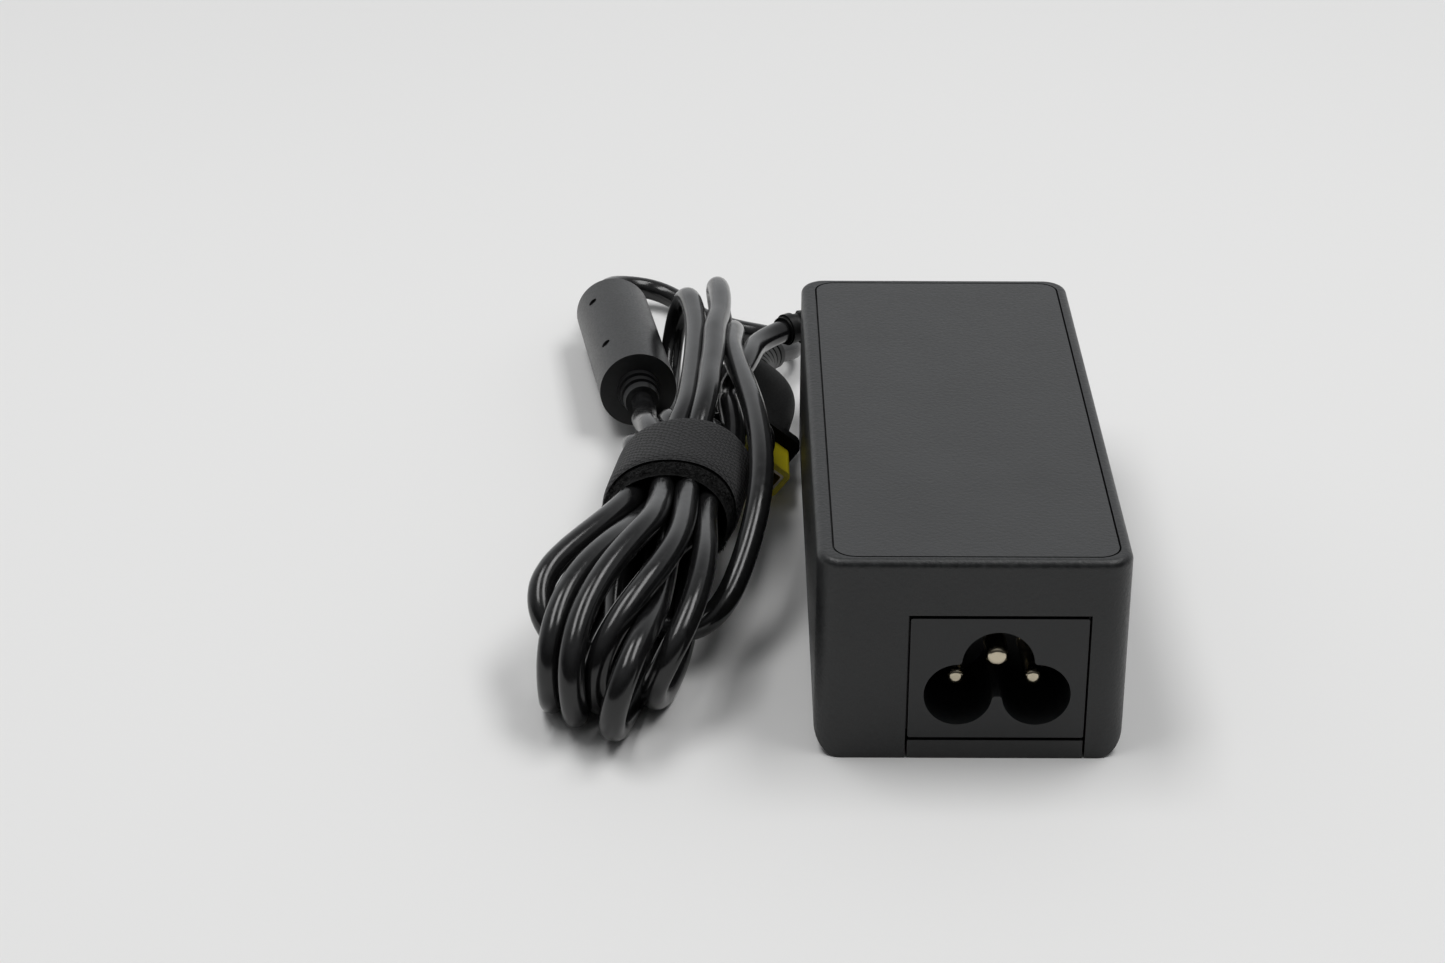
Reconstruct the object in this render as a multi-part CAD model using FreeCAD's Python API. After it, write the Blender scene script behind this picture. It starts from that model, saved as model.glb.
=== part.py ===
"""Laptop power adapter with its output cord tied in a hank, built as separate pieces.

Millimetres, +Z up.  The origin is the centre of the case's underside.  The case runs along Y, with
the mains inlet at its -Y end and the output cord at its +Y end.  The hank lies beside it, at -X.
"""
import FreeCAD
import Part
import math
import os

V = FreeCAD.Vector
X_AXIS = V(1, 0, 0)
Y_AXIS = V(0, 1, 0)
Z_AXIS = V(0, 0, 1)

# ---------------------------------------------------------------- driving dimensions: case
case_length = 93.0
case_width = 40.0
case_height = 28.5
wall = 2.0
top_wall = 2.6
upright_radius = 3.5  # the four upright edges
lower_edge_radius = 3.5  # the two long lower edges
top_edge_radius = 1.0
seam = 0.1  # gap round a welded cover
tiny_radius = 0.01  # stands for a sharp corner
overshoot = 5.0  # how far a cutting form runs past the body it cuts
opening_side_margin = 4.2  # case side to the edge of the bottom opening
opening_end_margin = 3.2
opening_radius = 2.0
panel_thickness = 1.2
panel_margin_left = 2.0
panel_margin_right = 1.45
panel_margin_inlet = 1.35
panel_margin_cord = 1.5
panel_radius = 3.0
panel_groove = 0.25

# ---------------------------------------------------------------- driving dimensions: inlet
inlet_centre_x = 3.3
inlet_width = 22.6
inlet_bottom = 3.1
inlet_height = 17.3
inlet_depth = 18.5
inlet_side_gap = 0.3
inlet_end_gap = 0.45
flange_step = 1.3  # how far the inlet's flange stands behind the wall
flange_thickness = 1.8
flange_gap = 0.1
cavity_depth = 14.0
lobe_bottom_margin = 1.9  # inlet's lower edge to the lower lobes
lower_lobe_radius = 4.4
upper_lobe_radius = 4.65
upper_lobe_rise = 4.4  # upper lobe's centre above the lower ones
lobe_blend = 0.45
pin_spacing = 10.0
live_pin_radius = 1.2
earth_pin_radius = 1.5
live_pin_recess = 4.4
earth_pin_recess = 1.8
pin_dome = 0.6  # share of a pin's radius that its tip is rounded by
pin_shoulder = 0.2  # how much thicker a pin is inside the body
pin_tail = 2.5  # how far a pin stands out behind the inlet
lead_radius = 0.6

# ---------------------------------------------------------------- driving dimensions: board
board_thickness = 1.6
board_height = 5.0  # underside of the board
board_width = 31.0
board_start_gap = 1.0  # behind the inlet body
board_end_gap = 1.5  # before the far wall
rail_thickness = 1.0
rail_end_gap = 4.0  # rails and sheet stop short of the board's cord end
post_radius = 2.0
peg_radius = 1.0
peg_clearance = 0.15
post_inset = 2.2  # board edges to post centre
sheet_thickness = 0.4
component_clearance = 0.3
sink_thickness = 1.5
bulk_radius = 8.0
bulk_length = 24.0
output_radius = 3.2
output_height = 12.0
choke_outer_radius = 6.4
choke_inner_radius = 4.0
choke_height = 5.6
choke_winding = 1.2  # thickness of its wire layer
choke_split = 1.6  # half the gap between its two windings
core_size = (22.0, 12.0, 16.0)  # the transformer's ferrite core
core_lift = 0.6
core_leg = 7.0
core_yoke = 3.0  # thickness of its yokes and outer legs
bobbin_wall = 0.8
bobbin_flange = 1.0
bobbin_reach = (4.2, 2.4)  # how far the bobbin's flanges stand out past the leg
bobbin_gap = 0.1
bobbin_foot = 1.6
bobbin_foot_x = 5.0
winding_wall = (3.0, 1.6)  # thickness of the winding beside and before the leg
package_leg = (0.6, 0.8, 2.5)
package_leg_pitch = 2.3

# ---------------------------------------------------------------- driving dimensions: cord
cord_diameter = 3.5
boot_inset = 9.6  # case side to the cord outlet
boot_neck_radius = 3.2
boot_root_radius = 3.5
boot_tip_radius = 2.5
boot_core_radius = 2.2
boot_flange_radius = 5.0
boot_flange_thickness = 1.5
boot_straight = 8.0
boot_bend_radius = 7.0
boot_bend = 135.0
boot_ring = 1.2
boot_pitch = 2.4
wall_gap = 0.1  # between the boot's neck and the hole
rib_margin = 0.6  # bare ends of a ribbed sleeve

strap_thickness = 1.2
waist_half_width = 8.4
waist_half_height = 7.2

ferrite_radius = 6.0
ferrite_chamfer = 1.6
core_outer_radius = 4.6
core_inner_radius = 2.2
core_end_wall = 4.0
collar_length = 5.0
collar_root_radius = 3.4
collar_tip_radius = 2.6
collar_groove_radius = 2.4
collar_groove_width = 0.9
collar_groove_pitch = 1.8
dimple_radius = 0.8
dimple_depth = 0.4

grip_width = 12.4
grip_height = 8.8
grip_length = 22.5
plug_flange_length = 2.2
plug_flange_width = 12.6
plug_flange_height = 8.4
tip_width = 11.0
tip_height = 4.6
tip_length = 8.0
tip_wall = 0.8
sleeve_wall = 0.4
sleeve_depth = 7.0
centre_pin_width = 2.0
centre_pin_height = 0.8
centre_pin_recess = 1.0
relief_chord = 13.0
relief_bend = 36.0
relief_droop = 20.0  # how far the bend's plane dips from level
plug_roll = -38.0  # the plug lies on one long edge
relief_ring = 1.2
relief_pitch = 2.1
relief_root_radius = 3.3
relief_tip_radius = 2.4
relief_core_radius = 2.0

# ---------------------------------------------------------------- places worked out from these
half_length = case_length / 2
half_width = case_width / 2
inlet_left = inlet_centre_x - inlet_width / 2
inlet_right = inlet_centre_x + inlet_width / 2
inlet_top = inlet_bottom + inlet_height
inlet_back = -half_length + inlet_depth
tab_height = inlet_bottom - inlet_end_gap
lower_lobe_z = inlet_bottom + lobe_bottom_margin + lower_lobe_radius
upper_lobe_z = lower_lobe_z + upper_lobe_rise
board_top = board_height + board_thickness
board_start = inlet_back + board_start_gap
board_end = half_length - wall - board_end_gap
board_half_width = board_width / 2
roof = case_height - top_wall
boot_x = boot_inset - half_width
boot_z = case_height / 2
cord_radius = cord_diameter / 2
plug_axis = V(0, -1, 0)


def beside(out, back, height):
    """A point of the cord's lay: out from the case's side, and back from its cord end."""
    return V(-half_width - out, half_length + back, height)


strap_rear = beside(17.2, -32.5, 12.0)  # centres of the strap's two rims
strap_front = beside(19.8, -50.0, 12.0)
ferrite_front = beside(25.0, 4.0, 8.0)  # centres of the moulding's end faces
ferrite_rear = beside(30.6, 41.8, 6.3)
plug_rear = beside(7.2, 12.0, 6.75)  # centre of the grip's rear face; the plug points to -Y


# ---------------------------------------------------------------- shape helpers
def box(x0, x1, y0, y1, z0, z1):
    return Part.makeBox(x1 - x0, y1 - y0, z1 - z0, V(x0, y0, z0))


def cylinder(base, axis, radius, length):
    return Part.makeCylinder(radius, length, base, axis)


def cone(base, axis, radius_0, radius_1, length):
    return Part.makeCone(radius_0, radius_1, length, base, axis)


def ring(base, axis, outer, inner, length):
    return cylinder(base, axis, outer, length).cut(cylinder(base, axis, inner, length))


def rounded_outline(u0, u1, v0, v1, radii, place):
    """Closed outline from (u0, v0) to (u1, v1); radii go round from the (u0, v0) corner."""
    corners = [(u0, v0, 1, 1), (u1, v0, -1, 1), (u1, v1, -1, -1), (u0, v1, 1, -1)]
    starts = []
    for index, ((u, v, du, dv), radius) in enumerate(zip(corners, radii)):
        along_v = (u, v + dv * radius)
        along_u = (u + du * radius, v)
        middle = radius * (1 - math.sqrt(0.5))
        bulge = (u + du * middle, v + dv * middle)
        ends = (along_v, bulge, along_u) if index % 2 == 0 else (along_u, bulge, along_v)
        starts.append([place(*point) for point in ends])
    edges = []
    for index, (first, middle, last) in enumerate(starts):
        edges.append(Part.Arc(first, middle, last).toShape())
        edges.append(Part.LineSegment(last, starts[(index + 1) % 4][0]).toShape())
    return Part.Wire(edges)


def rounded_plate(x0, x1, y0, y1, z0, z1, radius):
    outline = rounded_outline(x0, x1, y0, y1, [radius] * 4, lambda u, v: V(u, v, z0))
    return Part.Face(outline).extrude(V(0, 0, z1 - z0))


def rounded_beam(x0, x1, z0, z1, y0, y1, lower_radius, upper_radius):
    radii = [lower_radius, lower_radius, upper_radius, upper_radius]
    outline = rounded_outline(x0, x1, z0, z1, radii, lambda u, v: V(u, y0, v))
    return Part.Face(outline).extrude(V(0, y1 - y0, 0))


def oval_wire(centre, half_width, half_height):
    """An upright ellipse across Y, laid through evenly turned points from its +X side."""
    points = []
    for step in range(16):
        angle = math.radians(22.5 * step)
        across = X_AXIS * (half_width * math.cos(angle))
        points.append(centre + across + Z_AXIS * (half_height * math.sin(angle)))
    curve = Part.BSplineCurve()
    curve.interpolate(points, PeriodicFlag=True)
    return Part.Wire([curve.toShape()])


def rounded_route(points):
    """Straight runs joined by tangent arcs: returns the wire and the radii of its arcs."""
    edges = []
    radii = []
    start = points[0]
    for before, corner, after in zip(points, points[1:], points[2:]):
        back = before - corner
        ahead = after - corner
        turn = math.pi - back.getAngle(ahead)
        radius = 0.45 * min(back.Length, ahead.Length) / math.tan(turn / 2)
        reach = radius * math.tan(turn / 2)
        back.normalize()
        ahead.normalize()
        middle = back + ahead
        middle.normalize()
        first = corner + back * reach
        last = corner + ahead * reach
        centre = corner + middle * (radius / math.cos(turn / 2))
        edges.append(Part.LineSegment(start, first).toShape())
        edges.append(Part.Arc(first, centre - middle * radius, last).toShape())
        radii.append(radius)
        start = last
    edges.append(Part.LineSegment(start, points[-1]).toShape())
    return Part.Wire(edges), radii


def tube(points, radius):
    wire, _ = rounded_route(points)
    direction = points[1] - points[0]
    profile = Part.Wire([Part.makeCircle(radius, points[0], direction)])
    return wire.makePipeShell([profile], True, False)


def cord_tube(name, points):
    solid = tube(points, cord_radius)
    wire, radii = rounded_route(points)
    ideal = math.pi * cord_radius**2 * wire.Length
    print(name, "length", round(wire.Length, 1), "radii", [round(r, 1) for r in radii])
    print("    tube volume over section times length:", round(solid.Volume / ideal, 4))
    return solid


def bent_path(start, heading, side, straight, radius, degrees):
    """Point and heading at a distance along a straight that runs on into an arc towards side."""
    centre = start + heading * straight + side * radius

    def at(distance):
        if distance <= straight:
            return start + heading * distance, heading
        angle = (distance - straight) / radius
        point = centre - side * (radius * math.cos(angle)) + heading * (radius * math.sin(angle))
        return point, heading * math.cos(angle) + side * math.sin(angle)

    return at, straight + radius * math.radians(degrees)


def ribbed_sleeve(at, first, length, core_radius, root_radius, tip_radius, rib, pitch):
    """Flexible sleeve along a path: a core with rings that shrink towards the tip."""
    start, heading = at(first)
    points = [at(first + (length - first) * step / 12)[0] for step in range(13)]
    curve = Part.BSplineCurve()
    curve.interpolate(points, InitialTangent=heading, FinalTangent=at(length)[1])
    profile = Part.Wire([Part.makeCircle(core_radius, start, heading)])
    sleeve = Part.Wire([curve.toShape()]).makePipeShell([profile], True, False)
    start_of_ribs = first + rib_margin + rib / 2
    run = length - rib_margin - rib / 2 - start_of_ribs
    count = round(run / pitch)
    for index in range(count + 1):
        share = index / count
        point, direction = at(start_of_ribs + share * run)
        radius = root_radius + (tip_radius - root_radius) * share
        sleeve = sleeve.fuse(cylinder(point - direction * (rib / 2), direction, radius, rib))
    return sleeve


# ---------------------------------------------------------------- case
def case_body(inset, floor, ceiling):
    """The case's outer form, or its inside when inset by the wall."""
    x = half_width - inset
    y = half_length - inset
    lower = lower_edge_radius - inset
    section = rounded_beam(-x, x, floor, ceiling, -y, y, lower, tiny_radius)
    plan = rounded_plate(-x, x, -y, y, floor, ceiling, upright_radius - inset)
    return section.common(plan)


def bottom_opening(gap, z0, z1):
    x = half_width - opening_side_margin - gap
    y = half_length - opening_end_margin - gap
    return rounded_plate(-x, x, -y, y, z0, z1, opening_radius)


def panel_plate(gap, z0, z1):
    return rounded_plate(
        -half_width + panel_margin_left + gap,
        half_width - panel_margin_right - gap,
        -half_length + panel_margin_inlet + gap,
        half_length - panel_margin_cord - gap,
        z0,
        z1,
        panel_radius - gap,
    )


def make_housing():
    x = half_width
    y = half_length
    plan = rounded_plate(-x, x, -y, y, 0, case_height, upright_radius)
    brim = [edge for edge in plan.Edges if edge.BoundBox.ZMin > case_height - 0.01]
    plan = plan.makeFillet(top_edge_radius, brim)
    ceiling = case_height + overshoot
    section = rounded_beam(-x, x, 0, ceiling, -y, y, lower_edge_radius, tiny_radius)
    shell = plan.common(section)
    shell = shell.cut(case_body(wall, wall, roof))
    shell = shell.cut(bottom_opening(0, -1, wall + 1))
    slot = box(
        inlet_left - inlet_side_gap,
        inlet_right + inlet_side_gap,
        -y - 1,
        -y + opening_end_margin + seam,
        -1,
        inlet_top + inlet_end_gap,
    )
    shell = shell.cut(slot)
    shell = shell.cut(panel_plate(0, case_height - panel_thickness, case_height + 1))
    hole = cylinder(V(boot_x, y - wall - 1, boot_z), Y_AXIS, boot_neck_radius + wall_gap, wall + 2)
    return shell.cut(hole)


def post_places():
    for x in (-1, 1):
        for y in (board_start + post_inset, board_end - post_inset):
            yield x * (board_half_width - post_inset), y


def make_base_cover():
    cover = bottom_opening(seam, 0, wall)
    tab = box(
        inlet_left,
        inlet_right,
        -half_length,
        -half_length + opening_end_margin + 1,
        0,
        tab_height,
    )
    cover = cover.fuse(tab)
    inner = half_width - opening_side_margin - seam
    for side in (-1, 1):
        edges = sorted((side * inner, side * (inner - rail_thickness)))
        cover = cover.fuse(box(*edges, board_start, board_end - rail_end_gap, wall, board_height))
    for x, y in post_places():
        cover = cover.fuse(cylinder(V(x, y, wall), Z_AXIS, post_radius, board_height - wall))
        peg = board_thickness + component_clearance
        cover = cover.fuse(cylinder(V(x, y, board_height), Z_AXIS, peg_radius, peg))
    return cover.removeSplitter()


def make_top_panel():
    return panel_plate(panel_groove, case_height - panel_thickness, case_height)


# ---------------------------------------------------------------- mains inlet
def trefoil(y0, y1):
    """The three-lobed cavity, with its inner corners softened."""
    lobes = []
    for side in (-1, 1):
        x = inlet_centre_x + side * pin_spacing / 2
        lobes.append(cylinder(V(x, y0, lower_lobe_z), Y_AXIS, lower_lobe_radius, y1 - y0))
    top = V(inlet_centre_x, y0, upper_lobe_z)
    cavity = cylinder(top, Y_AXIS, upper_lobe_radius, y1 - y0)
    cavity = cavity.fuse(lobes).removeSplitter()
    depth = y1 - y0
    upright = [edge for edge in cavity.Edges if abs(edge.BoundBox.YLength - depth) < 0.01]
    inner = [edge for edge in upright if parts_two_lobes(cavity, edge)]
    return cavity.makeFillet(lobe_blend, inner)


def parts_two_lobes(shape, edge):
    """True where an edge parts two different cylinders, not the two sides of one."""
    faces = shape.ancestorsOfType(edge, Part.Face)
    return faces[0].Surface.Center.distanceToPoint(faces[1].Surface.Center) > 0.5


def make_inlet_body():
    front = -half_length
    body = rounded_beam(
        inlet_left, inlet_right, inlet_bottom, inlet_top, front, inlet_back, 0.3, 0.3
    )
    flange_start = front + wall + flange_gap
    flange = box(
        inlet_left - flange_step,
        inlet_right + flange_step,
        flange_start,
        flange_start + flange_thickness,
        inlet_bottom,
        inlet_top + flange_step,
    )
    body = body.fuse(flange)
    body = body.cut(trefoil(front - 1, front + cavity_depth))
    for pin in contact_pins().values():
        body = body.cut(pin)
    return body


def contact_pin(x, z, radius, recess):
    """A domed contact standing in the cavity, on a thicker shank through the body."""
    tip = -half_length + recess
    root = -half_length + cavity_depth
    pin = cylinder(V(x, tip, z), Y_AXIS, radius, root - tip)
    nose = [edge for edge in pin.Edges if edge.BoundBox.YMax < tip + 0.01]
    pin = pin.makeFillet(pin_dome * radius, nose)
    shank = cylinder(V(x, root, z), Y_AXIS, radius + pin_shoulder, inlet_back + pin_tail - root)
    return pin.fuse(shank)


def contact_pins():
    left = inlet_centre_x - pin_spacing / 2
    right = inlet_centre_x + pin_spacing / 2
    return {
        "line_pin": contact_pin(left, lower_lobe_z, live_pin_radius, live_pin_recess),
        "neutral_pin": contact_pin(right, lower_lobe_z, live_pin_radius, live_pin_recess),
        "earth_pin": contact_pin(inlet_centre_x, upper_lobe_z, earth_pin_radius, earth_pin_recess),
    }


def make_inlet_leads():
    """Three bare leads, from the ends of the pins down to the board."""
    y = inlet_back + pin_tail + lead_radius
    places = [
        (inlet_centre_x - pin_spacing / 2, lower_lobe_z),
        (inlet_centre_x, upper_lobe_z),
        (inlet_centre_x + pin_spacing / 2, lower_lobe_z),
    ]
    return [
        cylinder(V(x, y, board_top), Z_AXIS, lead_radius, z + live_pin_radius - board_top)
        for x, z in places
    ]


# ---------------------------------------------------------------- circuit board and its components
def make_circuit_board():
    board = box(
        -board_half_width, board_half_width, board_start, board_end, board_height, board_top
    )
    for x, y in post_places():
        hole = cylinder(V(x, y, board_height - 1), Z_AXIS, peg_radius + peg_clearance, 5)
        board = board.cut(hole)
    return board


def make_insulation_sheet():
    x = board_half_width - post_inset - post_radius - component_clearance
    return box(-x, x, board_start, board_end - rail_end_gap, wall, wall + sheet_thickness)


def on_board(x, y, size_x, size_y, height):
    """A block standing on the board, given its centre and size."""
    return box(
        x - size_x / 2,
        x + size_x / 2,
        y - size_y / 2,
        y + size_y / 2,
        board_top,
        board_top + height,
    )


def make_choke(x, y):
    """A ring core lying on the board, with a winding on each half."""
    centre = V(x, y, board_top + choke_winding)
    core = ring(centre, Z_AXIS, choke_outer_radius, choke_inner_radius, choke_height)
    sleeve = ring(
        V(x, y, board_top),
        Z_AXIS,
        choke_outer_radius + choke_winding,
        choke_inner_radius - choke_winding,
        choke_height + 2 * choke_winding,
    ).cut(core)
    reach = choke_outer_radius + 2 * choke_winding
    windings = []
    for side in (-1, 1):
        edges = sorted((side * choke_split, side * reach))
        half = box(x + edges[0], x + edges[1], y - reach, y + reach, 0, case_height)
        windings.append(sleeve.common(half))
    return core, windings


def make_transformer(x, y):
    """Core, bobbin and winding of an upright transformer centred at (x, y)."""
    half_x, half_y = core_size[0] / 2, core_size[1] / 2
    z0 = board_top + core_lift
    z1 = z0 + core_size[2]
    core = box(x - half_x, x + half_x, y - half_y, y + half_y, z0, z1)
    low = z0 + core_yoke
    high = z1 - core_yoke
    for side in (-1, 1):
        edges = sorted((side * core_leg / 2, side * (half_x - core_yoke)))
        window = box(x + edges[0], x + edges[1], y - 2 * half_y, y + 2 * half_y, low, high)
        core = core.cut(window)
    low += bobbin_gap
    high -= bobbin_gap

    def round_leg(grow_x, grow_y, z_low, z_high):
        reach_x = core_leg / 2 + grow_x
        reach_y = half_y + grow_y
        return box(x - reach_x, x + reach_x, y - reach_y, y + reach_y, z_low, z_high)

    bobbin = round_leg(bobbin_wall, bobbin_wall, low, high)
    for z in (low, high - bobbin_flange):
        bobbin = bobbin.fuse(round_leg(*bobbin_reach, z, z + bobbin_flange))
    bobbin = bobbin.cut(round_leg(bobbin_gap, bobbin_gap, low, high))
    for foot_x in (x - bobbin_foot_x, x + bobbin_foot_x):
        for side in (-1, 1):
            foot_y = y + side * (half_y + bobbin_reach[1] - bobbin_foot / 2)
            foot = on_board(foot_x, foot_y, bobbin_foot, bobbin_foot, low - board_top)
            bobbin = bobbin.fuse(foot)
    wire_low = low + bobbin_flange
    wire_high = high - bobbin_flange
    reach = [bobbin_wall + thickness for thickness in winding_wall]
    winding = round_leg(*reach, wire_low, wire_high)
    winding = winding.cut(round_leg(bobbin_wall, bobbin_wall, wire_low, wire_high))
    return core, bobbin.removeSplitter(), winding


def power_package(x0, x1, y, width, height):
    """A flat transistor package standing against a heatsink, on three legs."""
    leg_height = package_leg[2]
    body = box(x0, x1, y - width / 2, y + width / 2, board_top + leg_height, board_top + height)
    for step in (-1, 0, 1):
        leg = on_board((x0 + x1) / 2, y + step * package_leg_pitch, *package_leg)
        body = body.fuse(leg)
    return body


def board_components():
    """Every component on the board, in rows from the inlet to the cord end."""
    parts = {}
    filter_y = board_start + 8.0
    parts["fuse"] = cylinder(V(-9.8, filter_y, board_top), Z_AXIS, 4.0, 8.0)
    parts["varistor"] = on_board(-2.6, filter_y, 3.6, 9.0, 10.0)
    parts["x_capacitor"] = on_board(8.6, filter_y, 13.0, 6.6, 12.0)

    choke_y = filter_y + 12.5
    parts["choke_core"], parts["choke_windings"] = make_choke(-7.0, choke_y)
    parts["bridge_rectifier"] = on_board(5.4, choke_y, 3.6, 14.0, 11.0)
    sink_x = board_half_width - sink_thickness - 0.5
    parts["primary_heatsink"] = box(
        sink_x, sink_x + sink_thickness, choke_y - 8.0, choke_y + 8.0, board_top, board_top + 16.0
    )
    parts["power_transistor"] = power_package(sink_x - 4.4, sink_x, choke_y, 10.0, 15.0)

    capacitor_y = choke_y + 17.0
    parts["bulk_capacitor"] = cylinder(
        V(-board_half_width + 0.5, capacitor_y, board_top + bulk_radius),
        X_AXIS,
        bulk_radius,
        bulk_length,
    )
    parts["controller_chip"] = on_board(12.0, capacitor_y, 4.0, 5.0, 1.6)

    transformer_y = capacitor_y + bulk_radius + 9.0
    names = ("transformer_core", "transformer_bobbin", "transformer_winding")
    parts.update(zip(names, make_transformer(-4.0, transformer_y)))
    parts["y_capacitor"] = on_board(11.6, transformer_y - 7.0, 3.6, 7.0, 8.0)
    parts["optocoupler"] = on_board(11.2, transformer_y - 0.6, 6.4, 4.6, 3.6)

    output_y = board_end - 3.6
    places = [(11.4, output_y - 5.8), (4.9, output_y)]
    parts["output_capacitors"] = [
        cylinder(V(x, y, board_top), Z_AXIS, output_radius, output_height) for x, y in places
    ]
    sink_left = boot_x + boot_flange_radius + 0.4
    sink_right = sink_left + sink_thickness
    parts["secondary_heatsink"] = box(
        sink_left, sink_right, output_y - 3.0, output_y + 3.0, board_top, board_top + 14.0
    )
    parts["output_rectifier"] = power_package(sink_right, sink_right + 4.0, output_y, 6.0, 12.0)
    return parts


def make_output_wires():
    """Two wires, from the board up to the inner face of the strain relief."""
    face = half_length - wall - boot_flange_thickness - wall_gap
    y = face - 1.2
    wires = []
    for step in (0, 1):
        x = boot_x + boot_flange_radius - 1.4 - 2.2 * step
        wire = cylinder(V(x, y, board_top), Z_AXIS, lead_radius, boot_z - board_top)
        wires.append(wire.fuse(cylinder(V(x, y, boot_z), Y_AXIS, lead_radius, face - y)))
    return wires


# ---------------------------------------------------------------- output cord
def boot_route():
    start = V(boot_x, half_length, boot_z)
    return bent_path(start, Y_AXIS, V(-1, 0, 0), boot_straight, boot_bend_radius, boot_bend)


def make_strain_relief():
    at, length = boot_route()
    sleeve = ribbed_sleeve(
        at, 0, length, boot_core_radius, boot_root_radius, boot_tip_radius, boot_ring, boot_pitch
    )
    inside = half_length - wall - wall_gap
    neck = cylinder(V(boot_x, inside, boot_z), Y_AXIS, boot_neck_radius, wall + wall_gap)
    flange_start = inside - boot_flange_thickness
    flange = cylinder(
        V(boot_x, flange_start, boot_z), Y_AXIS, boot_flange_radius, boot_flange_thickness
    )
    return sleeve.fuse([neck, flange]).removeSplitter()


def lead_route():
    """From the boot, back past the corner of the case and into the hank."""
    at, length = boot_route()
    tip, heading = at(length)
    return [
        tip,
        tip + heading * 6.0,
        beside(8.0, -2.0, 15.8),
        beside(10.6, -10.0, 15.0),
        beside(15.2, -15.3, 13.0),
    ]


def outer_turn_route():
    """The one turn that runs outside the strap, between the hank's two ends."""
    return [
        beside(13.0, 17.5, 15.5),
        beside(11.0, 3.5, 18.4),
        beside(8.4, -10.5, 19.4),
        beside(6.0, -25.0, 18.8),
        beside(5.2, -38.5, 17.2),
        beside(6.0, -51.5, 13.6),
        beside(9.6, -62.5, 9.2),
        beside(17.0, -71.5, 6.0),
    ]


def tail_route():
    """From the hank to the ferrite's front collar."""
    axis = (ferrite_rear - ferrite_front).normalize()
    end = ferrite_front - axis * collar_length
    return [
        beside(22.4, -19.5, 13.0),
        beside(23.8, -12.5, 10.8),
        end - axis * 5.5,
        end,
    ]


def plug_cord_route():
    """From the ferrite's rear collar, round behind the hank and up to the plug."""
    axis = (ferrite_rear - ferrite_front).normalize()
    start = ferrite_rear + axis * collar_length
    at, length = relief_route()
    end, heading = at(length)
    return [
        start,
        start + axis * 6.6,
        beside(28.2, 58.7, 4.4),
        beside(21.6, 59.7, 2.9),
        beside(16.0, 55.9, 2.0),
        beside(14.2, 47.6, 1.8),
        beside(9.7, 42.2, 1.8),
        beside(4.5, 39.7, 1.9),
        beside(0.4, 35.1, 2.8),
        end + heading * 5.6,
        end,
    ]


def hank_sections():
    """Ovals across the hank from its far end to its near end: centre and half sizes."""
    return [
        (beside(16.2, 29.5, 15.0), 3.0, 3.0),
        (beside(16.2, 23.5, 14.5), 5.0, 4.8),
        (beside(15.6, 11.5, 14.8), 5.6, 5.2),
        (beside(15.9, 3.5, 15.0), 5.1, 5.1),
        (beside(17.7, -2.0, 14.2), 5.8, 6.2),
        (beside(19.5, -8.5, 12.8), 6.0, 7.6),
        (beside(20.9, -16.5, 11.4), 6.6, 8.8),
        (beside(19.3, -23.5, 11.8), 6.8, 7.8),
        (strap_rear, waist_half_width, waist_half_height),
        (strap_front, waist_half_width, waist_half_height),
        (beside(23.8, -61.0, 10.8), 11.6, 9.6),
        (beside(25.4, -71.0, 10.6), 12.6, 10.0),
        (beside(25.2, -82.5, 10.2), 11.0, 9.8),
        (beside(26.0, -90.5, 8.6), 8.6, 8.0),
        (beside(25.4, -97.0, 7.8), 3.6, 5.0),
    ]


def make_hank():
    wires = [oval_wire(*section) for section in hank_sections()]
    return Part.makeLoft(wires, True, True)


def strap_layer(inner, outer, grow):
    """A band round the waist between two distances from the hank; grow lengthens both ends."""
    along = strap_front - strap_rear
    rims = (strap_rear - along * grow, strap_front + along * grow)
    forms = []
    for distance in (outer, inner):
        wires = [
            oval_wire(rim, waist_half_width + distance, waist_half_height + distance)
            for rim in rims
        ]
        forms.append(Part.makeLoft(wires, True, True))
    return forms


def make_strap():
    band = strap_layer(0, strap_thickness, 0)[0]
    core = strap_layer(0, strap_thickness, 0.2)[1]
    overlap = strap_layer(0, 2 * strap_thickness, 0)[0]
    lower_left = box(
        strap_front.x - 4 * waist_half_width,
        strap_front.x,
        strap_front.y - strap_thickness,
        strap_rear.y + strap_thickness,
        0,
        strap_front.z,
    )
    return band.fuse(overlap.common(lower_left)).cut(core).removeSplitter()


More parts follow.
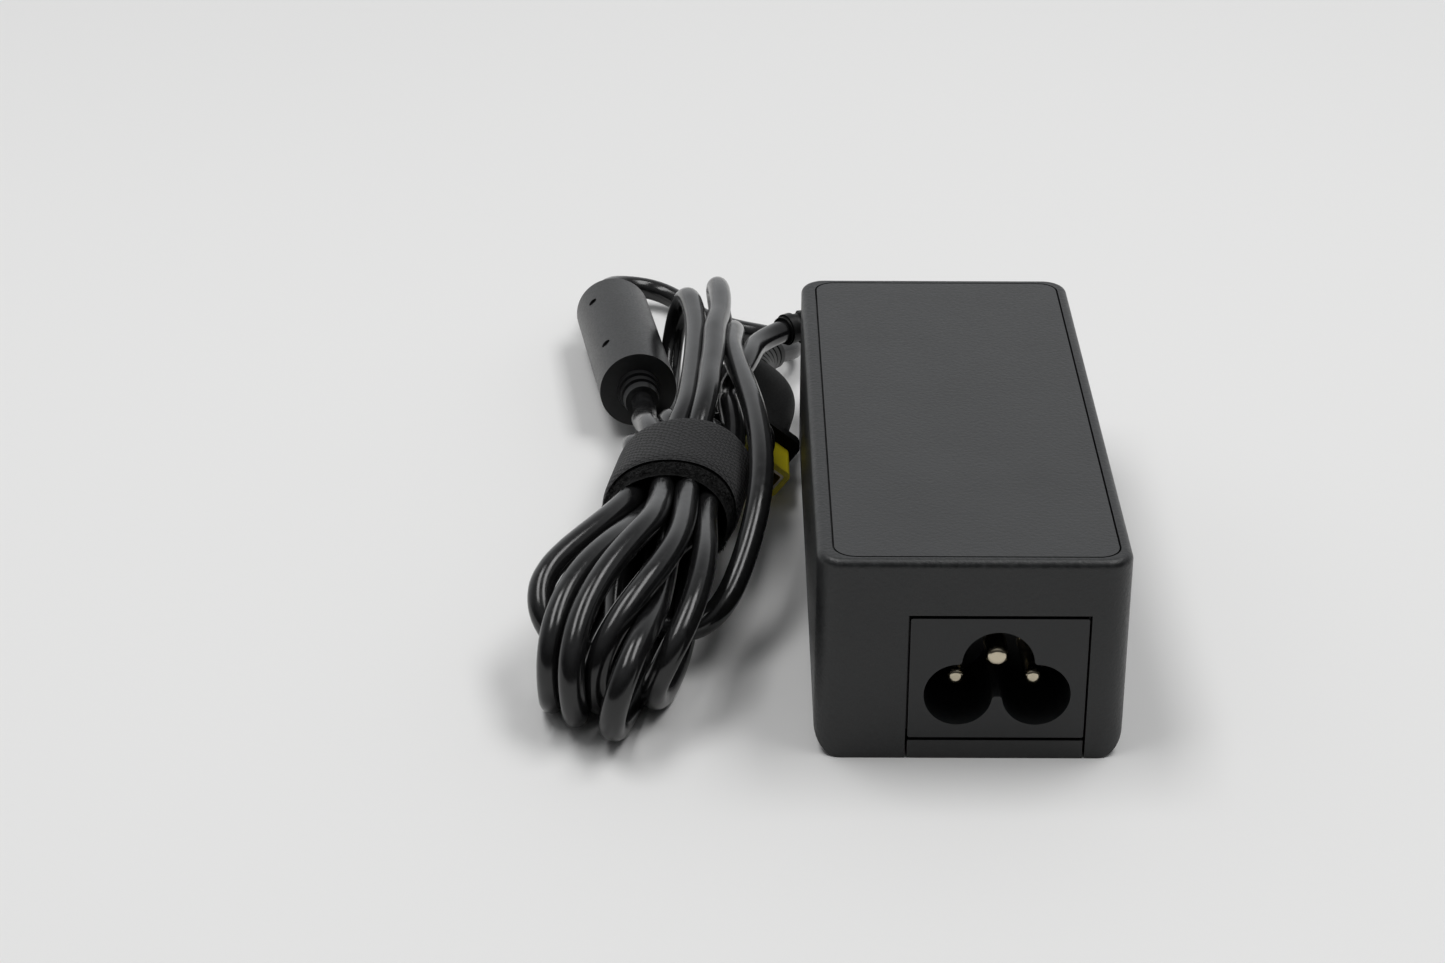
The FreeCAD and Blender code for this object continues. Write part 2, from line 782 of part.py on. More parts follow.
# ---------------------------------------------------------------- ferrite
def ferrite_parts():
    axis = ferrite_rear - ferrite_front
    length = axis.Length
    axis.normalize()
    body = cylinder(ferrite_front, axis, ferrite_radius, length - ferrite_chamfer * 2)
    shoulder = ferrite_front + axis * (length - ferrite_chamfer * 2)
    body = body.fuse(
        cone(shoulder, axis, ferrite_radius, ferrite_radius - ferrite_chamfer, ferrite_chamfer * 2)
    )
    front = cone(
        ferrite_front - axis * collar_length,
        axis,
        collar_tip_radius,
        collar_root_radius,
        collar_length,
    )
    rear = cone(ferrite_rear, axis, collar_root_radius, collar_tip_radius, collar_length)
    body = body.fuse([front, rear])
    for face, heading in ((ferrite_front, axis * -1), (ferrite_rear, axis)):
        for step in (0.5, 1.5):
            place = face + heading * (collar_groove_pitch * step)
            body = body.cut(
                ring(place, heading, ferrite_radius, collar_groove_radius, collar_groove_width)
            )
    core = ring(
        ferrite_front + axis * core_end_wall,
        axis,
        core_outer_radius,
        core_inner_radius,
        length - 2 * core_end_wall,
    )
    body = body.cut(core)
    across = axis.cross(Z_AXIS)
    across.normalize()
    outward = (Z_AXIS - across * 0.9).normalize()
    for share in (0.25, 0.75):
        place = ferrite_front + axis * (length * share) + outward * (ferrite_radius - dimple_depth)
        body = body.cut(cylinder(place, outward, dimple_radius, 3))
    return body, core


# ---------------------------------------------------------------- plug
def plug_section(distance, width, height, radius):
    centre = plug_rear + plug_axis * distance
    return rounded_outline(
        centre.x - width / 2,
        centre.x + width / 2,
        centre.z - height / 2,
        centre.z + height / 2,
        [radius] * 4,
        lambda u, v: V(u, centre.y, v),
    )


def plug_block(start, length, width, height, radius):
    face = Part.Face(plug_section(start, width, height, radius))
    return face.extrude(plug_axis * length)


def make_plug_grip():
    """Swelling grip with a flange where the tip comes out."""
    shares = [
        (0.0, 0.76, 0.76),
        (0.2, 0.97, 0.97),
        (0.5, 1.0, 1.0),
        (0.82, 0.87, 0.87),
        (1.0, 0.88, 0.86),
    ]
    sections = [
        plug_section(grip_length * at, grip_width * wide, grip_height * high, grip_height * 0.3)
        for at, wide, high in shares
    ]
    grip = Part.makeLoft(sections, True, False)
    flange = plug_block(grip_length, plug_flange_length, plug_flange_width, plug_flange_height, 1.2)
    return grip.fuse(flange)


def plug_tip_parts():
    start = grip_length + plug_flange_length
    tip = plug_block(start, tip_length, tip_width, tip_height, 0.8)
    hollow_width = tip_width - 2 * tip_wall
    hollow_height = tip_height - 2 * tip_wall
    hollow_start = start + tip_length - sleeve_depth
    hollow = plug_block(hollow_start, sleeve_depth, hollow_width, hollow_height, 0.4)
    bore = plug_block(
        hollow_start,
        sleeve_depth,
        hollow_width - 2 * sleeve_wall,
        hollow_height - 2 * sleeve_wall,
        0.2,
    )
    pin = plug_block(
        hollow_start,
        sleeve_depth - centre_pin_recess,
        centre_pin_width,
        centre_pin_height,
        0.2,
    )
    return tip.cut(hollow), hollow.cut(bore), pin


def relief_route():
    """The plug's strain relief bends to +X and down as it leaves the grip."""
    half_bend = math.radians(relief_bend / 2)
    radius = relief_chord / (2 * math.sin(half_bend))
    droop = math.radians(relief_droop)
    side = X_AXIS * math.cos(droop) - Z_AXIS * math.sin(droop)
    return bent_path(plug_rear, Y_AXIS, side, 0, radius, relief_bend)


def make_plug_relief():
    at, length = relief_route()
    return ribbed_sleeve(
        at,
        0,
        length,
        relief_core_radius,
        relief_root_radius,
        relief_tip_radius,
        relief_ring,
        relief_pitch,
    )


# ---------------------------------------------------------------- all the pieces
def all_parts():
    parts = {
        "housing": make_housing(),
        "base_cover": make_base_cover(),
        "top_panel": make_top_panel(),
        "inlet_body": make_inlet_body(),
    }
    parts.update(contact_pins())
    parts["inlet_leads"] = make_inlet_leads()
    parts["circuit_board"] = make_circuit_board()
    parts["insulation_sheet"] = make_insulation_sheet()
    parts.update(board_components())
    parts["output_wires"] = make_output_wires()
    parts["strain_relief"] = make_strain_relief()
    parts["dc_cord_lead"] = cord_tube("lead", lead_route())
    parts["dc_cord_hank"] = make_hank()
    parts["dc_cord_outer_turn"] = cord_tube("outer turn", outer_turn_route())
    parts["dc_cord_tail"] = cord_tube("tail", tail_route())
    parts["dc_cord_plug_end"] = cord_tube("plug end", plug_cord_route())
    parts["cord_strap"] = make_strap()
    parts["ferrite_moulding"], parts["ferrite_core"] = ferrite_parts()
    parts["plug_relief"] = make_plug_relief()
    parts["plug_grip"] = make_plug_grip()
    parts["plug_tip"], parts["plug_sleeve"], parts["plug_centre_pin"] = plug_tip_parts()
    for name in ("plug_grip", "plug_tip", "plug_sleeve", "plug_centre_pin"):
        parts[name].rotate(plug_rear, plug_axis, plug_roll)
    return parts


os.makedirs("parts", exist_ok=True)
for node, shape in all_parts().items():
    if isinstance(shape, list):
        shape = Part.makeCompound(shape)
    solids = shape.Solids
    print(node, "solids", len(solids), "valid", shape.isValid(), "volume", round(shape.Volume, 1))
    result = solids[0] if len(solids) == 1 else Part.makeCompound(solids)
    result.exportStep("parts/" + node + ".step")
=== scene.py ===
import math

import bmesh
import bpy
import numpy as np
from mathutils import Matrix, Vector


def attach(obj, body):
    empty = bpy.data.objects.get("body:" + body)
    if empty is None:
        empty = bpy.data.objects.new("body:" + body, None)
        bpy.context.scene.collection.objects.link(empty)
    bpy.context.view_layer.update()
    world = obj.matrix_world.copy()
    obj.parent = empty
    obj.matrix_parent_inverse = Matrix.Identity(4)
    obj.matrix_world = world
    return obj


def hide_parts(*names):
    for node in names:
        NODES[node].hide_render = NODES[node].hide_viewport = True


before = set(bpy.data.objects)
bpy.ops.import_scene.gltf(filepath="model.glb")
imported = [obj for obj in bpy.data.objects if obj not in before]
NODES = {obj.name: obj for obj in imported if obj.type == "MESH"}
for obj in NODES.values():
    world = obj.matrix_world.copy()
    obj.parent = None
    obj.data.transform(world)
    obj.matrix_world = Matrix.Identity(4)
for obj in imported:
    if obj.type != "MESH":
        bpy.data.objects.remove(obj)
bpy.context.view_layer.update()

SCENE = bpy.context.scene
MM = 0.001


# ---------------------------------------------------------------- camera

# fitted to the case's edges and corners: a place in mm, angles in degrees, a lens in mm
CAMERA_PLACE = np.array([-32.17, -390.01, 207.72])
CAMERA_PITCH, CAMERA_YAW, CAMERA_ROLL = 26.076, 0.047, 0.226
CAMERA_LENS = 77.17
SENSOR_WIDTH = 36


def turned(degrees, axis):
    return Matrix.Rotation(math.radians(degrees), 4, axis)


def make_camera():
    camera = bpy.data.objects.new("camera", bpy.data.cameras.new("camera"))
    camera.data.sensor_width = SENSOR_WIDTH
    camera.data.lens = CAMERA_LENS
    camera.data.clip_start = 0.01
    camera.matrix_world = (
        Matrix.Translation(CAMERA_PLACE * MM)
        @ turned(-CAMERA_YAW, "Z")
        @ turned(90 - CAMERA_PITCH, "X")
        @ turned(CAMERA_ROLL, "Z")
    )
    SCENE.collection.objects.link(camera)
    SCENE.camera = camera


make_camera()


# ---------------------------------------------------------------- the cord's route, in mm

CORD = 3.5
STRAP_REAR = np.array([-37.2, 14.0, 12.0])
STRAP_FRONT = np.array([-39.8, -3.5, 12.0])
STRAP_INSIDE = np.array([8.4, 7.2])
FERRITE_FRONT = np.array([-45.0, 50.5, 8.0])
FERRITE_REAR = np.array([-50.6, 88.3, 6.3])
FERRITE_AXIS = (FERRITE_REAR - FERRITE_FRONT) / np.linalg.norm(FERRITE_REAR - FERRITE_FRONT)
BOOT_TIP = (-22.35, 59.45, 14.25)

# from the boot to the hank
LEAD = [BOOT_TIP, (-26.6, 55.2, 14.25), (-28.0, 44.5, 15.8)]
# from the hank to the ferrite, through it, and on to the plug
TAIL = [tuple(FERRITE_FRONT - 10.5 * FERRITE_AXIS), tuple(FERRITE_FRONT - 5.0 * FERRITE_AXIS)]
PLUG_END = [
    tuple(FERRITE_FRONT + 3.0 * FERRITE_AXIS),
    tuple(FERRITE_REAR),
    tuple(FERRITE_REAR + 5.0 * FERRITE_AXIS),
    tuple(FERRITE_REAR + 8.0 * FERRITE_AXIS),
    (-50.0, 101.6, 4.6),
    (-43.6, 103.2, 3.2),
    (-38.6, 99.4, 2.2),
    (-35.4, 93.2, 1.8),
    (-29.7, 88.7, 1.8),
    (-24.5, 86.2, 1.9),
    (-20.4, 81.6, 2.8),
    (-20.1, 75.4, 4.1),
    (-23.4, 70.9, 5.5),
    (-24.8, 68.4, 5.9),
]

# where each strand passes through the strap: (to the right, up) from the strap's centre line
SLOTS = {
    "A": (-4.8, 3.7), "B": (-1.8, 0.0), "C": (-1.7, 5.2), "D": (1.8, 0.0), "E": (1.7, 5.2), "F": (4.8, 3.7),
    "G_low": (6.5, 0.9), "F_low": (5.9, -2.4), "E_low": (3.3, -4.7), "D_low": (0.0, -5.4),
    "C_low": (-3.3, -4.7), "B_low": (-5.9, -2.5), "A_low": (-6.5, 0.8),
}
# the near loops, left to right A B C E D F G: the upper limb of each as it is seen, strap to nose
LOOPS = {
    "A": [(-47.6, -11.4, 16.6), (-50.4, -15.1, 16), (-53.3, -19.8, 15.2), (-55.4, -23.4, 14.2),
          (-56.3, -26.6, 13), (-56.1, -28.7, 11.8), (-55.2, -29.9, 10.6)],
    "B": [(-47.4, -17.3, 16), (-49.6, -20.9, 15.5), (-51.5, -25.1, 14.5), (-53.1, -29.3, 13),
          (-54.2, -33.5, 11), (-54.6, -36.7, 8.5), (-54.3, -38.9, 6), (-53.3, -39.9, 4)],
    "C": [(-40.8, -14.2, 18.5), (-43.7, -19.5, 18.3), (-46.4, -24.9, 17.3), (-48.5, -30, 16),
          (-50.2, -33.7, 14), (-51.2, -36.9, 11.5), (-51.6, -40.1, 9), (-51.3, -42.2, 6.5),
          (-49.9, -42.9, 4.2), (-48.3, -41.8, 3)],
    "E": [(-38.6, -21.6, 16.8), (-41, -26.7, 16), (-43.5, -30.9, 14.5), (-45.7, -33.6, 12.5),
          (-47.6, -35.8, 10), (-48.9, -37.4, 7.5), (-49.4, -39, 5.5), (-48.8, -40.3, 4)],
    "D": [(-40.7, -30.4, 12.5), (-41.9, -35.6, 12.5), (-43, -39.3, 12), (-44.1, -43.6, 11),
          (-45.1, -45.5, 8.7), (-46.1, -45.4, 5), (-46.7, -46.1, 2.8)],
    "F": [(-34.2, -18.4, 14), (-35, -23.2, 13), (-35.9, -28, 11.5), (-37.2, -31.5, 10), (-38.7, -34.3, 7.8),
          (-40.4, -35.9, 5.5), (-41.9, -36.3, 4)],
    "G": [(-26.3, 1.2, 16.5), (-26.9, -4.2, 15.3), (-27.9, -9.2, 12.8), (-29.5, -13.6, 10.3),
          (-31.4, -17.1, 8), (-33.2, -19.4, 6.3), (-34.7, -21.4, 5.3)],
}
# the lower limbs, mostly hidden, from the nose back to the strap
UNDER = {
    "A": [(-53.2, -30.6, 8.4), (-50.4, -28, 6.6), (-48.2, -19, 6.6), (-46.8, -8, 10)],
    "B": [(-53.2, -37.2, 2.3), (-52, -31, 1.9), (-49.6, -20, 2.6), (-46.8, -9, 6)],
    "C": [(-49.4, -38.2, 1.9), (-48.3, -31, 1.8), (-46, -20, 1.9), (-43.9, -9, 4.2)],
    "E": [(-47.2, -39.5, 4.6), (-45.4, -33, 5.2), (-42.6, -20, 5.2), (-38.2, -8, 5.6)],
    "D": [(-46.6, -41, 1.8), (-44.8, -33, 1.8), (-42.4, -20, 1.8), (-40.6, -8, 3.8)],
    "F": [(-42.4, -33.4, 1.9), (-41, -28, 1.8), (-38.8, -19, 1.9), (-35.4, -8, 5)],
    "G": [(-36.2, -23.4, 4.8), (-38.2, -23.6, 5), (-38.6, -20, 6.6), (-37.2, -12, 7.4), (-34.2, -5, 10)],
}
# beside and behind the strap, in the order that the cord takes
OUTER_TURN = [(-26.3, 5.8, 17.8), (-26.7, 13.5, 18.4), (-27.4, 21.7, 18.6), (-28.7, 31, 18.4),
              (-29.9, 41.2, 17.4), (-30.5, 53.5, 15.6)]
OUTER_FOLD = [(-31.4, 61.5, 10.6), (-32, 68, 6.2), (-32.4, 74.6, 5.6), (-32.4, 77.4, 10.2)]
SECOND_LIMB = [(-32.1, 70.2, 15.5), (-32.2, 61, 16.8), (-33, 47.5, 17.6), (-34.3, 33.7, 17.8),
               (-35, 20.1, 17.6)]
FOLD_E_F = [(-33.4, 22, 3.6), (-33.6, 27.5, 2.6), (-33.9, 31, 5.4), (-33.7, 31.2, 9.6), (-33, 27, 12.6),
            (-32.2, 21.5, 14.6)]
FOLD_F_D = [(-30.4, 24, 9.6), (-30.2, 30, 10), (-32.5, 34.5, 10.6), (-36, 34, 11.2), (-37.2, 29, 11.7),
            (-36.2, 22, 12)]
FOLD_D_B = [(-37, 22, 3.4), (-37.4, 27.5, 2.4), (-38, 31, 5.2), (-38.4, 30.6, 9.2), (-38.6, 26, 11.2),
            (-38.6, 21, 12)]
FIRST_FOLD = [(-44.5, 23, 7), (-44.8, 31, 4.6), (-42, 38.5, 2.8), (-37.6, 44.5, 2.4), (-36.2, 52, 2.8),
              (-37.4, 62, 3.8), (-39.4, 70, 6.2)]
FIRST_LIMB = [(-38.3, 73.8, 14), (-36.6, 63.7, 15.8), (-35.9, 54.2, 16.8), (-35.9, 44.9, 17.2),
              (-36.2, 34.5, 17.4), (-36.8, 26.7, 17.4), (-37.1, 21.7, 17.4)]
FOLD_C_A = [(-41, 18.5, 4.6), (-41.8, 23, 3.6), (-43.2, 25.2, 5.5), (-43.9, 22.4, 8.8), (-43.8, 18, 11.6)]
# where the cord comes into the hank from the lead, and goes out of it to the ferrite
WAY_IN = [(-30.6, 36.5, 15.0), (-31.4, 27, 14.0)]
WAY_OUT = [(-42.6, 22, 14.6), (-43.4, 28, 12.8), (-43.9, 33.5, 11.1)]


def through(slot, outward):
    """Three points of a strand inside the strap, towards the camera or away from it."""
    offset = np.array([SLOTS[slot][0], 0, SLOTS[slot][1]])
    places = [(1 - t) * STRAP_REAR + t * STRAP_FRONT + offset for t in (0, 0.5, 1)]
    return places if outward else places[::-1]


def hank_points():
    """(point, seen) in the order that the cord takes. A seen point keeps its place in the camera's view."""
    path = []

    def add(points, seen=False):
        path.extend((point, seen) for point in points)

    def near_loop(name):
        add(through(name, True))
        add(LOOPS[name], True)
        add(UNDER[name])
        add(through(name + "_low", False))

    add(WAY_IN)
    add(through("G_low", True))
    add(UNDER["G"][::-1])
    add(LOOPS["G"][::-1], True)
    add(OUTER_TURN, True)
    add(OUTER_FOLD)
    add(SECOND_LIMB, True)
    near_loop("E")
    add(FOLD_E_F)
    near_loop("F")
    add(FOLD_F_D)
    near_loop("D")
    add(FOLD_D_B)
    near_loop("B")
    add(FIRST_FOLD)
    add(FIRST_LIMB, True)
    near_loop("C")
    add(FOLD_C_A)
    add(through("A_low", True))
    add(UNDER["A"][::-1])
    add(LOOPS["A"][::-1], True)
    add(through("A", False))
    add(WAY_OUT)
    return path


# ---------------------------------------------------------------- the hank settles, in mm

# the chain of links: the length of each, and the radius that its tight bends are eased towards
LINK = 4.0
TIGHTEST_BEND = 7.0
# the rounds, and the share of each fault that a round puts right
ROUNDS = 900
STIFFNESS = 0.35
LINK_FIX = 0.35
BEND_FIX = 0.1
STRAND_FIX = 0.4
# the pull that straightens the chain: its share, its strength at first, and how much of that it loses
PULL, PULL_START, PULL_LOSS = 0.25, 0.13, 0.10
# the hold on the points that are seen, at first and in the end, and the stage when it changes
HOLD_START, HOLD_END, HOLD_CHANGES = 0.5, 0.15, 0.9
# the strands start closer than a cord's thickness, and reach it on the way
GAP_START, GAP_RISE = 0.6, 0.6
# how many links a bend is measured over
BEND_SPAN = 4
# how many points at the chain's ends may come near the lead, the ferrite and the tail, which they join
LEAD_LINKS, FERRITE_LINKS, TAIL_LINKS = 4, 4, 6
# how often the links within reach of each other are looked up, and how far beyond touching
ROUNDS_PER_SEARCH = 10
SEARCH_MARGIN = 1.5
SAMPLES_PER_POINT = 24
SMALL, TINY = 1e-6, 1e-9
# what the cord keeps off: the case's left side, boxes by their corners, lines by their ends, and their radii
CASE_SIDE, CASE_FRONT, CASE_REAR = -20.2, -48, 47.5
GRIP_BOX, GRIP_ROOM = ((-31.5, 34, 2.5), (-22.5, 58.5, 11.0)), 3.6
TIP_BOX, TIP_ROOM = ((-31.0, 25.8, 2.5), (-23.0, 34, 10.5)), 2.35
RELIEF_LINE, RELIEF_RADIUS = ((-27.2, 58.5, 6.9), (-23.4, 70.9, 5.5)), 3.3
FERRITE_LINE, FERRITE_RADIUS = (FERRITE_FRONT + 5 * FERRITE_AXIS, FERRITE_REAR), 6
COLLAR_LINE, COLLAR_RADIUS = (FERRITE_FRONT + 2.5 * FERRITE_AXIS, FERRITE_FRONT + 5.5 * FERRITE_AXIS), 4.5
# the strap holds what lies left of this, and does so a little beyond its edges, by a share of its width
STRAP_RIGHT = -29
STRAP_MARGIN = 0.03


def evenly(points, step):
    """Points a step apart on a smooth line through the given ones."""
    p = np.asarray(points, float)
    p = np.vstack([2 * p[0] - p[1], p, 2 * p[-1] - p[-2]])
    t = np.linspace(0, 1, SAMPLES_PER_POINT, endpoint=False)[:, None]
    line = []
    for a, b, c, d in zip(p, p[1:], p[2:], p[3:]):
        cube = 3 * b - a - 3 * c + d
        square = 2 * a - 5 * b + 4 * c - d
        line.append(0.5 * (2 * b + (c - a) * t + square * t**2 + cube * t**3))
    line = np.vstack(line + [p[-2][None]])
    along = np.r_[0, np.cumsum(np.linalg.norm(np.diff(line, axis=0), axis=1))]
    at = np.linspace(0, along[-1], int(round(along[-1] / step)) + 1)
    return np.stack([np.interp(at, along, line[:, k]) for k in range(3)], 1)


def stiffen(q, stage):
    """Evens the bending out along the chain, and pulls it a little straighter, less and less each round."""
    middle = (q[:-2] + q[2:]) / 2 - q[1:-1]
    change = np.zeros_like(q)
    change[1:-1] = middle
    q[2:-2] -= ((change[1:-3] + change[3:-1]) / 2 - change[2:-2]) * STIFFNESS
    q[1:-1] += middle * (PULL * (PULL_START - PULL_LOSS * stage))


def even_links(q):
    """Brings the links to one length, first every second one and then the rest, three times."""
    for first in (0, 1) * 3:
        a = np.arange(first, len(q) - 1, 2)
        link = q[a + 1] - q[a]
        length = np.linalg.norm(link, axis=1)
        fix = link * ((length - LINK) / length * LINK_FIX)[:, None]
        q[a] += fix
        q[a + 1] -= fix


def open_bends(q):
    """Pushes points a few links apart away from each other where the cord bends too tightly between them."""
    chord = 2 * TIGHTEST_BEND * math.sin(BEND_SPAN * LINK / 2 / TIGHTEST_BEND)
    span = q[BEND_SPAN:] - q[:-BEND_SPAN]
    length = np.linalg.norm(span, axis=1)
    fix = span / np.maximum(length, SMALL)[:, None] * (np.maximum(chord - length, 0) * BEND_FIX)[:, None]
    q[:-BEND_SPAN] -= fix
    q[BEND_SPAN:] += fix


def links_in_reach(q):
    """The pairs of links that are near enough to touch, neighbours along the chain left out."""
    centres = (q[1:] + q[:-1]) / 2
    reach = np.linalg.norm(centres[:, None] - centres[None], axis=2)
    return np.stack(np.where(np.triu(reach < CORD + LINK + SEARCH_MARGIN, k=BEND_SPAN)), 1)


def push_strands_apart(q, pairs, gap):
    """Moves the links of each pair apart, part of the way to a gap between their centre lines."""
    i, j = pairs.T
    u, v, w = q[i + 1] - q[i], q[j + 1] - q[j], q[i] - q[j]
    uu, vv, uv, uw, vw = ((a * b).sum(1) for a, b in ((u, u), (v, v), (u, v), (u, w), (v, w)))
    flat = uu * vv - uv * uv
    s = np.clip(np.where(flat > TINY, (uv * vw - uw * vv) / np.maximum(flat, TINY), 0.5), 0, 1)
    t = np.clip((uv * s + vw) / vv, 0, 1)
    s = np.clip((uv * t - uw) / uu, 0, 1)
    apart = (q[i] + u * s[:, None]) - (q[j] + v * t[:, None])
    distance = np.linalg.norm(apart, axis=1)
    near = distance < gap
    i, j, s, t, apart, distance = i[near], j[near], s[near], t[near], apart[near], distance[near]
    distance = np.maximum(distance, SMALL)
    push = apart / distance[:, None] * ((gap - distance) * STRAND_FIX)[:, None]
    moved, weight = np.zeros_like(q), np.zeros(len(q))
    for ends, share, sign in ((i, 1 - s, 1), (i + 1, s, 1), (j, 1 - t, -1), (j + 1, t, -1)):
        np.add.at(moved, ends, sign * push * share[:, None])
        np.add.at(weight, ends, share)
    q += moved / np.maximum(weight, 1)[:, None] ** 0.5


def keep_from_line(q, a, b, radius):
    """Moves points out to a radius from the line between a and b."""
    a, b = np.array(a), np.array(b)
    t = np.clip(((q - a) @ (b - a)) / ((b - a) @ (b - a)), 0, 1)
    foot = a + t[:, None] * (b - a)
    out = q - foot
    distance = np.linalg.norm(out, axis=1)
    near = distance < radius
    q[near] = foot[near] + out[near] / np.maximum(distance[near], SMALL)[:, None] * radius


def keep_from_box(q, low, high, radius):
    """Moves points out to a radius from a box, those inside it through its nearest side."""
    low, high = np.array(low), np.array(high)
    foot = np.clip(q, low, high)
    out = q - foot
    distance = np.linalg.norm(out, axis=1)
    inside = distance <= TINY
    near = (distance < radius) & ~inside
    q[near] = foot[near] + out[near] / distance[near][:, None] * radius
    for k in np.where(inside)[0]:
        room = np.r_[q[k] - low, high - q[k]]
        side = room.argmin()
        q[k, side % 3] = low[side] - radius if side < 3 else high[side - 3] + radius


def keep_clear(q):
    """Keeps the hank on the floor, off the case, plug and ferrite, and off the cord at its two ends."""
    q[:, 2] = np.maximum(q[:, 2], CORD / 2)
    beside = (q[:, 1] > CASE_FRONT) & (q[:, 1] < CASE_REAR)
    q[beside, 0] = np.minimum(q[beside, 0], CASE_SIDE - CORD / 2)
    keep_from_box(q, *GRIP_BOX, GRIP_ROOM)
    keep_from_box(q, *TIP_BOX, TIP_ROOM)
    keep_from_line(q, *RELIEF_LINE, CORD / 2 + RELIEF_RADIUS)
    keep_from_line(q[:-FERRITE_LINKS], *FERRITE_LINE, CORD / 2 + FERRITE_RADIUS)
    keep_from_line(q[:-TAIL_LINKS], *COLLAR_LINE, CORD / 2 + COLLAR_RADIUS)
    keep_from_line(q[:-TAIL_LINKS], *TAIL, CORD)
    for a, b in zip(LEAD, LEAD[1:]):
        keep_from_line(q[LEAD_LINKS:], a, b, CORD)


def keep_in_strap(q):
    """Moves what passes through the strap in from its inside by half a cord."""
    t = (STRAP_REAR[1] - q[:, 1]) / (STRAP_REAR[1] - STRAP_FRONT[1])
    off = (q - STRAP_REAR - t[:, None] * (STRAP_FRONT - STRAP_REAR))[:, [0, 2]]
    room = STRAP_INSIDE - CORD / 2
    far = np.hypot(*(off / room).T)
    out = (t > -STRAP_MARGIN) & (t < 1 + STRAP_MARGIN) & (q[:, 0] < STRAP_RIGHT) & (far > 1)
    q[out] -= np.insert(off[out] * (1 - 1 / far[out])[:, None], 1, 0, axis=1)


def settled_hank():
    """The hank as a chain of even links: stiff, a cord's thickness apart, and clear of its neighbours."""
    path = hank_points()
    q = evenly([point for point, _ in path], LINK)
    start = q.copy()
    held = sorted({int(np.linalg.norm(q - point, axis=1).argmin()) for point, seen in path if seen})
    sight = q[held] - CAMERA_PLACE
    sight /= np.linalg.norm(sight, axis=1)[:, None]
    for turn in range(ROUNDS):
        stage = turn / ROUNDS
        stiffen(q, stage)
        even_links(q)
        open_bends(q)
        if turn % ROUNDS_PER_SEARCH == 0:
            pairs = links_in_reach(q)
        gap = CORD * min(1, GAP_START + GAP_RISE * stage)
        for _ in range(2):
            push_strands_apart(q, pairs, gap)
        keep_clear(q)
        keep_in_strap(q)
        along = ((q[held] - CAMERA_PLACE) * sight).sum(1)
        hold = HOLD_START if stage < HOLD_CHANGES else HOLD_END
        q[held] += (CAMERA_PLACE + sight * along[:, None] - q[held]) * hold
        q[:2], q[-2:] = start[:2], start[-2:]
    return q


def cord_points():
    return [Vector(p) * MM for p in LEAD + [tuple(p) for p in settled_hank()] + TAIL + PLUG_END]


def make_cord(points):
    curve = bpy.data.curves.new("dc_cord", "CURVE")
    curve.dimensions = "3D"
    spline = curve.splines.new("NURBS")
    spline.points.add(len(points) - 1)
    for control, point in zip(spline.points, points):
        control.co = (*point, 1)
    spline.order_u = 3
    spline.use_endpoint_u = True
    spline.resolution_u = 5
    curve.bevel_depth = CORD / 2 * MM
    curve.bevel_resolution = 8
    cord = bpy.data.objects.new("dc_cord", curve)
    SCENE.collection.objects.link(cord)
    return cord


def cord_length(cord):
    line = cord.copy()
    line.data = cord.data.copy()
    line.data.bevel_depth = 0
    mesh = bpy.data.meshes.new_from_object(line)
    places = [v.co for v in mesh.vertices]
    bpy.data.objects.remove(line)
    return sum((b - a).length for a, b in zip(places, places[1:]))


CORD_POINTS = cord_points()
cord = make_cord(CORD_POINTS)
CORD_LENGTH = cord_length(cord)


# ---------------------------------------------------------------- materials

# a Mix node's sockets: the amount, the two numbers or colours that it blends, and the blended colour
MIX_AMOUNT, MIX_NUMBERS, MIX_COLOURS, MIX_RESULT = 0, (2, 3), (6, 7), 2


def feed(tree, socket, value):
    """Links a socket to another node's output, or gives it a plain value."""
    if isinstance(value, bpy.types.NodeSocket):
        tree.links.new(value, socket)
    else:
        socket.default_value = value


